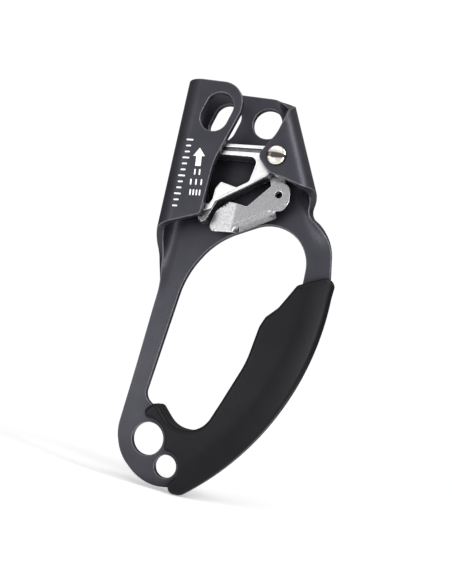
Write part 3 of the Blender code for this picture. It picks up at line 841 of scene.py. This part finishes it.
def coil(centre, radius, y_start, y_end, start, turns):
    """Points along a coil about a line along Y; start is in degrees."""
    points = []
    total = round(turns * COIL_STEPS)
    for i in range(total + 1):
        share = i / total
        a = radians(start) + 2 * pi * turns * share
        y = y_start + (y_end - y_start) * share
        points.append((centre[0] + radius * cos(a), y, centre[1] + radius * sin(a)))
    return points


def make_cam_spring(finish):
    """Torsion spring round the sleeve: one leg on the right bend, one in the cam's cheek."""
    shape = bmesh.new()
    y_front = -9.6
    y_back = -3.9
    turns = SPRING_TURNS + (SPRING_LEG - 90) / 360
    path = coil(CAM_PIVOT, SPRING_R, y_front, y_back, 90, turns)
    tail = cam_place(SPRING_LEG, SPRING_R)
    path = [(CAM_PIVOT[0] + 6.3, y_front, CAM_PIVOT[1] + SPRING_R)] + path
    path += [(tail[0], -2.9, tail[1]), (tail[0], -1.3, tail[1])]
    wire(shape, path, SPRING_WIRE)
    return add_piece("cam_torsion_spring", shape, finish, "frame_body",
                     ["cam_spring"])


def make_lever_spring(finish):
    """Light torsion spring inside the lever."""
    shape = bmesh.new()
    y_front = -8.4
    y_back = -6.2
    path = coil(LEVER_PIVOT, LEVER_SPRING_R, y_front, y_back, 60, 2.75)
    up = (LEVER_PIVOT[0] - 4.8, y_front, LEVER_PIVOT[1] + 6.0)
    down = (LEVER_PIVOT[0] - 8.2, y_back, LEVER_PIVOT[1] - 6.4)
    wire(shape, [up] + path + [down], LEVER_SPRING_WIRE)
    return add_piece("lever_torsion_spring", shape, finish, "cam_body",
                     ["lever_spring"])


# ---------------------------------------------------------------- safety lever

def lip_axes():
    """Directions along the lip's fold line and square to it, downwards."""
    run = (Vector(LIP_END) - Vector(LIP_START)).normalized()
    return run, Vector((run.y, -run.x))


def lip_parts(x, z):
    """Distance along the lip's fold line and distance below it."""
    run, down = lip_axes()
    away = Vector((x, z)) - Vector(LIP_START)
    return away.dot(run), away.dot(down)


def lip_place(along, below):
    """The inverse of lip_parts."""
    run, down = lip_axes()
    place = Vector(LIP_START) + run * along + down * below
    return place.x, place.y


def lever_place(x, z, depth):
    """The stamped sheet: left of the crease it leans back, below the fold it turns back."""
    if x < CREASE_X:
        return x, depth + (CREASE_X - x) * tan(CREASE_LEAN), z
    along, below = lip_parts(x, z)
    from_dimple = (x - DIMPLE[0]) ** 2 + (z - DIMPLE[1]) ** 2
    depth -= DIMPLE_PROUD * exp(-from_dimple / DIMPLE_SPREAD)
    if below <= 0:
        return x, depth, z
    radius = LIP_BEND_R + (LEVER_FRONT + LEVER_WALL - depth)
    middle = LIP_BEND_R + LEVER_WALL / 2
    full = LIP_TURN * fade(x, (CREASE_X, CREASE_X + LIP_FADE))
    turn = min(below / middle, full)
    rest = max(0.0, below - middle * full)
    down = radius * sin(turn) + rest * cos(turn)
    back = LIP_BEND_R + LEVER_WALL - radius * cos(turn) + rest * sin(turn)
    x, z = lip_place(along, down)
    return x, LEVER_FRONT + back, z


def lever_sheet_outline():
    """Flat form of the lever's front: round head, arm, left facet, slit and bottom lip."""
    corners = [
        (40.2, 136.3, 3.0), (27.3, 120.6, 1.2), (18.0, 121.9, 2.5), (11.9, 116.6, 1.5),
        (9.9, 108.6, 1.8), (11.8, 106.2, 1.8), (SLIT[0] - 0.12, 107.2, 0.4),
        (SLIT[0] - 0.12, SLIT[1], 0.1), (SLIT[0] + 0.12, SLIT[1], 0.1),
        (SLIT[0] + 0.6, 106.95, 0.6)]
    corners += [(*lip_place(*place), r) for *place, r in (
        (17.6, LIP_LENGTH, 1.4), (18.5, 0.9, 0.6))]
    return rounded(corners + [(44.4, 121.2, 3.0), (47.6, 126.2, 3.5), (46.3, 133.8, 4.0)])


def make_lever(finish):
    """Stamped lever: bent front sheet, rear wall and the tube that joins them round the pin."""
    shape = bmesh.new()
    bore = circle(*LEVER_PIVOT, PIN_R + GAP)
    grid = [(x, z) for x in np.arange(10.5, 48, LEVER_SPACING)
            for z in np.arange(105, 137, LEVER_SPACING)]
    slab(shape, spaced(lever_sheet_outline(), LEVER_SPACING), [spaced(bore, 0.8)], LEVER_FRONT,
         LEVER_FRONT + LEVER_WALL, 0.3, lever_place, grid)
    rear = rounded([
        (40.0, 135.0, 3.0), (31.5, 124.5, 3.0), (31.5, 119.0, 2.0), (40.5, 122.0, 2.0),
        (45.6, 126.4, 3.5), (44.6, 133.0, 4.0)])
    slab(shape, rear, [bore], LEVER_BACK - LEVER_WALL, LEVER_BACK, 0.35)
    chamfered_ring(shape, LEVER_PIVOT, PIN_R + GAP, LEVER_TUBE_R, LEVER_FRONT + LEVER_WALL - 0.1,
                   LEVER_BACK - LEVER_WALL + 0.1, 0.05)
    return add_piece("stamped_lever", shape, finish, "lever_body",
                     ["safety_lever"])


def make_pin(finish):
    """Hollow-ended lever pin, sunk in front, with a thin head behind the cam's lug."""
    shape = bmesh.new()
    front = LEVER_FRONT + 0.9
    head = CAM_BACK + GAP
    turned(shape, LEVER_PIVOT, [
        (0, front + 5.0), (1.1, front + 4.8), (1.15, front + 0.1), (1.25, front),
        (PIN_R - 0.1, front), (PIN_R, front + 0.1), (PIN_R, head), (2.25, head), (2.4, head + 0.15),
        (2.4, head + 0.35), (2.2, head + 0.5), (0, head + 0.5)], 40)
    return add_piece("hinge_pin", shape, finish, "cam_body", ["lever_pin"])


# ---------------------------------------------------------------- materials

def new_material(name):
    made = bpy.data.materials.new(name)
    made.use_nodes = True
    return made, made.node_tree


def noise(tree, scale, detail=3.0, stretch=(1, 1, 1)):
    """Noise in object space; scale is in features per metre."""
    place = tree.nodes.new("ShaderNodeTexCoord")
    sized = tree.nodes.new("ShaderNodeMapping")
    sized.inputs["Scale"].default_value = stretch
    grain = tree.nodes.new("ShaderNodeTexNoise")
    grain.inputs["Scale"].default_value = scale
    grain.inputs["Detail"].default_value = detail
    tree.links.new(place.outputs["Object"], sized.inputs["Vector"])
    tree.links.new(sized.outputs["Vector"], grain.inputs["Vector"])
    return grain.outputs["Fac"]


def remap(tree, value, low, high, start=0.3, end=0.7):
    """A value's range from start to end, stretched to low to high."""
    node = tree.nodes.new("ShaderNodeMapRange")
    node.inputs["From Min"].default_value = start
    node.inputs["From Max"].default_value = end
    node.inputs["To Min"].default_value = low
    node.inputs["To Max"].default_value = high
    tree.links.new(value, node.inputs["Value"])
    return node.outputs["Result"]


def combined(tree, operation, *values):
    """Arithmetic on one or two shader values, which may be plain numbers."""
    node = tree.nodes.new("ShaderNodeMath")
    node.operation = operation
    for socket, value in zip(node.inputs, values):
        if isinstance(value, (int, float)):
            socket.default_value = value
        else:
            tree.links.new(value, socket)
    return node.outputs["Value"]


def blend_colour(tree, share, first, second):
    node = tree.nodes.new("ShaderNodeMix")
    node.data_type = "RGBA"
    tree.links.new(share, node.inputs["Factor"])
    for socket, colour in zip((node.inputs["A"], node.inputs["B"]), (first, second)):
        if isinstance(colour, tuple):
            socket.default_value = (*colour, 1.0)
        else:
            tree.links.new(colour, socket)
    return node.outputs["Result"]


def bump(tree, shader, height, depth):
    """Bump from a height; depth is in metres."""
    node = tree.nodes.new("ShaderNodeBump")
    node.inputs["Distance"].default_value = depth
    tree.links.new(height, node.inputs["Height"])
    tree.links.new(node.outputs["Normal"], shader.inputs["Normal"])


def edge_wear_and_highlight_mask(tree):
    """Where edge wear and a painted highlight go: up to 1 on the rounded edges of slabs, broken up
    a little, 0 elsewhere.
    """
    edge = tree.nodes.new("ShaderNodeAttribute")
    edge.attribute_name = "rim_wear_and_highlight"
    return combined(tree, "MULTIPLY", edge.outputs["Fac"], remap(tree, noise(tree, 700), 0.4, 1.0))


def openness_for_painted_shade(tree, reach):
    """Mask for painted shade: 0 in narrow recesses, where shade is painted, 1 on open surfaces;
    reach is in metres.
    """
    node = tree.nodes.new("ShaderNodeAmbientOcclusion")
    node.samples = 6
    node.inputs["Distance"].default_value = reach
    return remap(tree, node.outputs["AO"], 0.0, 1.0, 0.35, 0.85)


def painted_reflection_band(tree):
    """Painted reflection: 1 where the surface would mirror a level band just above the horizon, a
    band the world does not have.
    """
    band_height = 0.20
    band_half = (0.15, 0.24)
    place = tree.nodes.new("ShaderNodeTexCoord")
    parts = tree.nodes.new("ShaderNodeSeparateXYZ")
    tree.links.new(place.outputs["Reflection"], parts.inputs["Vector"])
    from_middle = combined(tree, "SUBTRACT", parts.outputs["Z"], band_height)
    return remap(tree, combined(tree, "ABSOLUTE", from_middle), 1.0, 0.0, *band_half)


def surface(name, dark, light, metallic, rough, cloud=90, grain=4000, depth=0.00001,
            edge_wear_and_highlight=None, painted_shade=None, reach=0.0014, painted_reflection=None, gloss=0.5, stretch=(1, 1, 1)):
    """Finish with cloudy colour, uneven roughness and a fine grain, all in object space.

    edge_wear_and_highlight is the colour of the rounded edges, partly edge wear and partly a
    painted highlight, painted_shade the colour of painted shade in recesses up to reach metres
    wide, which also turns down their reflection, painted_reflection the colour of a painted
    reflection of a dark band just above the horizon that the world does not have, gloss the level
    of a non-metal's clear reflection, stretch the way the grain is drawn out.
    """
    made, tree = new_material(name)
    shader = tree.nodes["Principled BSDF"]
    fine = noise(tree, grain, 2.0, stretch)
    share = remap(tree, noise(tree, cloud), 0.0, 1.0)
    colour = blend_colour(tree, share, dark, light)
    # rounded edges are lightened: partly edge wear, partly a painted highlight
    if edge_wear_and_highlight:
        colour = blend_colour(tree, edge_wear_and_highlight_mask(tree), colour, edge_wear_and_highlight)
    shader.inputs["Specular IOR Level"].default_value = gloss
    # painted reflection: a dark band mixed into the colour where the surface faces a level band
    # above the horizon
    if painted_reflection:
        colour = blend_colour(tree, painted_reflection_band(tree), colour, painted_reflection)
    # painted shade: recesses darken towards the shade colour, and their reflection is turned down
    # with them
    if painted_shade:
        clear = openness_for_painted_shade(tree, reach)
        colour = blend_colour(tree, clear, painted_shade, colour)
        tree.links.new(combined(tree, "MULTIPLY", clear, gloss),
                       shader.inputs["Specular IOR Level"])
    tree.links.new(colour, shader.inputs["Base Color"])
    shader.inputs["Metallic"].default_value = metallic
    tree.links.new(remap(tree, fine, *rough), shader.inputs["Roughness"])
    bump(tree, shader, fine, depth)
    return made


def make_materials():
    # Recess colours below are painted shade; edge colours are partly edge wear, partly painted
    # highlight; the nickel's band colour is a painted reflection.
    return {
        "anodised": surface(
            "satin_anodising", (0.023, 0.023, 0.031), (0.032, 0.031, 0.041), 0.5, (0.32, 0.42),
            grain=2600, depth=0.00002, edge_wear_and_highlight=(0.16, 0.16, 0.18), painted_shade=(0.007, 0.007, 0.009),
            reach=0.010),
        "rubber": surface(
            "grained_rubber", (0.0034, 0.0034, 0.0048), (0.0052, 0.0052, 0.0070), 0.0, (0.34, 0.46),
            cloud=60, grain=2600, depth=0.00003, gloss=0.16),
        "chrome": surface(
            "polished_chrome", (0.80, 0.80, 0.81), (0.88, 0.88, 0.88), 1.0, (0.24, 0.36),
            cloud=120, grain=700, edge_wear_and_highlight=(0.97, 0.97, 0.97), painted_shade=(0.09, 0.09, 0.095),
            reach=0.003),
        # a darker copy of the chrome for the cam's middle, teeth and groove floor: painted shade
        "shaded_chrome": surface(
            "chrome_darkened_for_shade", (0.16, 0.16, 0.17), (0.28, 0.28, 0.29), 1.0, (0.30, 0.46),
            cloud=600, grain=1600, depth=0.00004, edge_wear_and_highlight=(0.80, 0.80, 0.80),
            painted_shade=(0.02, 0.02, 0.022), reach=0.003),
        "nickel": surface(
            "polished_nickel", (0.72, 0.66, 0.58), (0.80, 0.74, 0.66), 1.0, (0.07, 0.14),
            cloud=200, grain=1500, depth=0.000004, painted_shade=(0.012, 0.011, 0.010), reach=0.003,
            painted_reflection=(0.10, 0.085, 0.075)),
        "blasted": surface(
            "blasted_steel", (0.26, 0.26, 0.27), (0.42, 0.42, 0.43), 1.0, (0.24, 0.34),
            cloud=1500, grain=2200, depth=0.00002, edge_wear_and_highlight=(0.92, 0.92, 0.92),
            painted_shade=(0.05, 0.05, 0.055)),
        "spring": surface(
            "drawn_spring_wire", (0.36, 0.36, 0.38), (0.46, 0.46, 0.48), 1.0, (0.24, 0.38),
            cloud=500, stretch=(1, 0.1, 1)),
        "ink": surface(
            "white_print", (0.66, 0.66, 0.67), (0.80, 0.80, 0.81), 0.0, (0.40, 0.55),
            cloud=900, depth=0.000008),
    }


# ---------------------------------------------------------------- stage

def floor_material():
    """Pale, faintly cloudy and see-through further out, where only the backdrop is left."""
    made, tree = new_material("pale_floor")
    shader = tree.nodes["Principled BSDF"]
    share = remap(tree, noise(tree, 12), 0.0, 1.0)
    tree.links.new(blend_colour(tree, share, (0.90, 0.90, 0.90), (0.92, 0.92, 0.92)),
                   shader.inputs["Base Color"])
    shader.inputs["Roughness"].default_value = 0.5
    shader.inputs["Specular IOR Level"].default_value = 0.2
    shader.inputs["Emission Color"].default_value = (1.0, 1.0, 1.0, 1.0)
    shader.inputs["Emission Strength"].default_value = FLOOR_GLOW
    place = tree.nodes.new("ShaderNodeTexCoord")
    span = tree.nodes.new("ShaderNodeVectorMath")
    span.operation = "LENGTH"
    tree.links.new(place.outputs["Object"], span.inputs[0])
    tree.links.new(remap(tree, span.outputs["Value"], 1.0, 0.0, *FLOOR_FADE),
                   shader.inputs["Alpha"])
    return made


def make_floor():
    """Pale floor just under the grip's foot."""
    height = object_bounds()[0][2] - FLOOR_DROP
    shape = bmesh.new()
    corners = [(-1, -1), (1, -1), (1, 1), (-1, 1)]
    shape.faces.new([shape.verts.new((x * FLOOR_HALF, y * FLOOR_HALF, height))
                     for x, y in corners])
    mesh = bpy.data.meshes.new("pale_floor")
    shape.to_mesh(mesh)
    shape.free()
    mesh.materials.append(floor_material())
    floor = bpy.data.objects.new("pale_floor", mesh)
    bpy.context.collection.objects.link(floor)


def softbox(name, place, width, height, radiance):
    """Evenly bright area light that faces the object; metres."""
    light = bpy.data.lights.new(name, "AREA")
    light.shape = "RECTANGLE"
    light.size = width
    light.size_y = height
    light.energy = radiance * pi * width * height
    item = bpy.data.objects.new(name, light)
    item.location = place
    away = Vector(place) - Vector(STAGE_MIDDLE)
    item.rotation_euler = away.to_track_quat("Z", "Y").to_euler()
    bpy.context.collection.objects.link(item)


def make_world():
    """White to the camera; to the object it is bright in front and above, and dark behind."""
    world = bpy.data.worlds.new("studio")
    world.use_nodes = True
    tree = world.node_tree
    back = tree.nodes["Background"]
    place = tree.nodes.new("ShaderNodeTexCoord")
    parts = tree.nodes.new("ShaderNodeSeparateXYZ")
    tree.links.new(place.outputs["Generated"], parts.inputs["Vector"])
    front = remap(tree, parts.outputs["Y"], 0.95, 0.08, -0.9, 0.1)
    above = remap(tree, parts.outputs["Z"], 0.0, 0.35, 0.1, 0.8)
    studio = combined(tree, "ADD", front, above)
    rays = tree.nodes.new("ShaderNodeLightPath")
    seen = tree.nodes.new("ShaderNodeMix")
    tree.links.new(rays.outputs["Is Camera Ray"], seen.inputs["Factor"])
    tree.links.new(studio, seen.inputs["A"])
    seen.inputs["B"].default_value = BACKDROP
    tree.links.new(seen.outputs["Result"], back.inputs["Strength"])
    back.inputs["Color"].default_value = (1.0, 1.0, 1.0, 1.0)
    bpy.context.scene.world = world


def make_camera():
    """Low in front and to the right, looking slightly up, rolled to the right."""
    lens = bpy.data.cameras.new("camera")
    lens.lens = LENS
    lens.sensor_width = SENSOR
    lens.clip_start = 0.01
    camera = bpy.data.objects.new("camera", lens)
    yaw = Matrix.Rotation(CAMERA_YAW, 3, "Z")
    pitch = Matrix.Rotation(pi / 2 + CAMERA_RISE, 3, "X")
    roll = Matrix.Rotation(CAMERA_ROLL, 3, "Z")
    camera.rotation_euler = (yaw @ pitch @ roll).to_euler()
    camera.location = (Vector(CAMERA_PLACE) + Vector((0, 0, ORIGIN_DROP))) * MM
    bpy.context.collection.objects.link(camera)
    bpy.context.scene.camera = camera


def make_stage():
    make_floor()
    make_world()
    softbox("low_right_strip", (0.68, -0.66, -0.05), 0.16, 0.5, 15.0)
    softbox("high_right_strip", (0.63, -0.32, 0.69), 0.14, 0.6, 14.0)
    softbox("front_top_box", (-0.20, -0.60, 0.95), 1.0, 0.5, 1.2)
    softbox("left_box", (-0.65, -0.75, 0.25), 0.3, 0.5, 2.0)
    softbox("low_left_box", (-0.42, -0.92, -0.10), 0.5, 0.30, 6.0)
    make_camera()
    bpy.context.scene.view_settings.view_transform = "Standard"


# ---------------------------------------------------------------- assembly

def build_looks():
    finish = make_materials()
    make_frame_plate(finish["anodised"])
    make_marks(finish["ink"])
    make_grip(finish["rubber"])
    make_cam(finish["chrome"], finish["shaded_chrome"])
    make_axle(finish["nickel"])
    make_sleeve(finish["nickel"])
    make_washer(finish["nickel"])
    make_cam_spring(finish["spring"])
    make_lever(finish["blasted"])
    make_pin(finish["nickel"])
    make_lever_spring(finish["spring"])
    make_stage()


build_looks()
